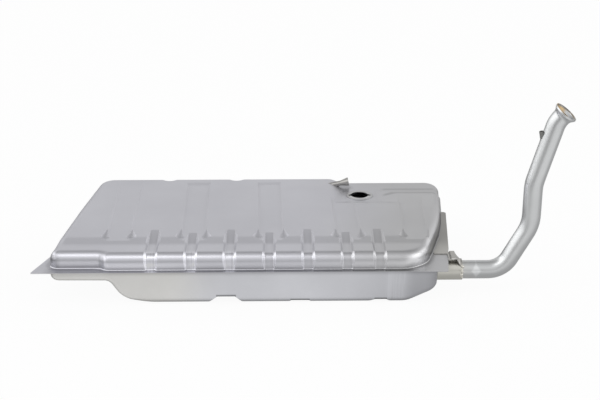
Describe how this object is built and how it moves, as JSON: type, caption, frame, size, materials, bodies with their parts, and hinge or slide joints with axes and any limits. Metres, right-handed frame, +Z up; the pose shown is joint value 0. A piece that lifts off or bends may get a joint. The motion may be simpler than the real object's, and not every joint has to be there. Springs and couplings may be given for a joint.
{
  "type": "fuel tank",
  "caption": "Flat pressed-steel car fuel tank of two flanged half shells with fluted edges, a sender opening, a bent filler neck at one corner, and baffles and a surge pot inside.",
  "frame": {"origin": "on the flat belly floor on which the tank stands, between the strap groove and the first short groove", "axes": "+X along the long side towards the filler neck, +Y towards the edge with the sender opening, +Z up"},
  "size_m": [1.2725, 0.525, 0.4745],
  "materials": {
    "shell_steel": "satin coated sheet",
    "lower_shell_steel": "satin coated sheet with faint draw marks",
    "ring_steel": "satin coated",
    "neck_steel": "satin coated tube",
    "spud_steel": "satin, solder-wiped",
    "sleeve_brass": "dull passivated",
    "nipple_steel": "satin coated",
    "bracket_steel": "satin coated, solder-wiped",
    "inner_steel": "satin coated"
  },
  "bodies": {
    "root": {"upper_shell": "shell_steel", "lower_shell": "lower_shell_steel", "sender_ring": "ring_steel", "filler_neck": "neck_steel", "filler_spud": "spud_steel", "cap_sleeve": "sleeve_brass", "neck_vent_nipple": "nipple_steel", "tank_vent_nipple": "nipple_steel", "neck_bracket": "bracket_steel", "surge_pot": "inner_steel", "baffle_left": "inner_steel", "baffle_centre": "inner_steel", "baffle_right": "inner_steel"}
  },
  "joints": []
}
